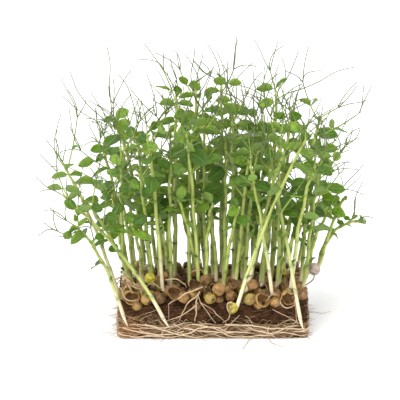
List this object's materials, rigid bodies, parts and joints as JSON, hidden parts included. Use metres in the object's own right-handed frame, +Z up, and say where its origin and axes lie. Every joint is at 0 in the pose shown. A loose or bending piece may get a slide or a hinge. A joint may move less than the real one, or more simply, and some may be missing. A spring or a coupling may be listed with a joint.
{
  "type": "tray-grown pea shoots",
  "caption": "Living pea shoots with leaves and forked tendrils, standing on the block of peat and felted roots that they grew in.",
  "frame": {"origin": "middle of the block's flat underside", "axes": "+Z up, +X along the block's long side, -Y the front, where stems and roots hang over the block's face"},
  "size_m": [0.2251, 0.161, 0.1933],
  "materials": {
    "peat": "moist dark brown peat, crumbly and matt",
    "roots": "felted cream and tan roots, matt, stained rust-brown in places",
    "seed_skin": "wrinkled tan to olive pea skin, slightly glossy",
    "greens": "fresh green leaf and stem, pale at the foot, soft sheen"
  },
  "bodies": {
    "root": {"root_mat": "roots", "peat_block": "peat", "plant_01": "greens", "plant_02": "greens", "plant_03": "greens", "plant_04": "greens", "plant_05": "greens", "plant_06": "greens", "plant_07": "greens", "plant_08": "greens", "plant_09": "greens", "plant_10": "greens", "plant_11": "greens", "plant_12": "greens", "plant_13": "greens", "plant_14": "greens", "plant_15": "greens", "plant_16": "greens", "plant_17": "greens", "plant_18": "greens", "plant_19": "greens", "plant_20": "greens", "plant_21": "greens", "plant_22": "greens", "plant_23": "greens", "plant_24": "greens", "plant_25": "greens", "plant_26": "greens", "plant_27": "greens", "plant_28": "greens", "plant_29": "greens", "plant_30": "greens", "plant_31": "greens", "plant_32": "greens", "plant_33": "greens", "plant_34": "greens", "plant_35": "greens", "plant_36": "greens", "plant_37": "greens", "plant_38": "greens", "plant_39": "greens", "plant_40": "greens", "plant_41": "greens", "plant_42": "greens", "plant_43": "greens", "plant_44": "greens", "plant_45": "greens", "plant_46": "greens", "plant_47": "greens", "plant_48": "greens", "plant_49": "greens", "plant_50": "greens", "loose_seed_1": "seed_skin", "loose_seed_2": "seed_skin", "loose_seed_3": "seed_skin", "loose_seed_4": "seed_skin", "loose_seed_5": "seed_skin", "root_end_1": "roots", "root_end_2": "roots"}
  },
  "joints": []
}
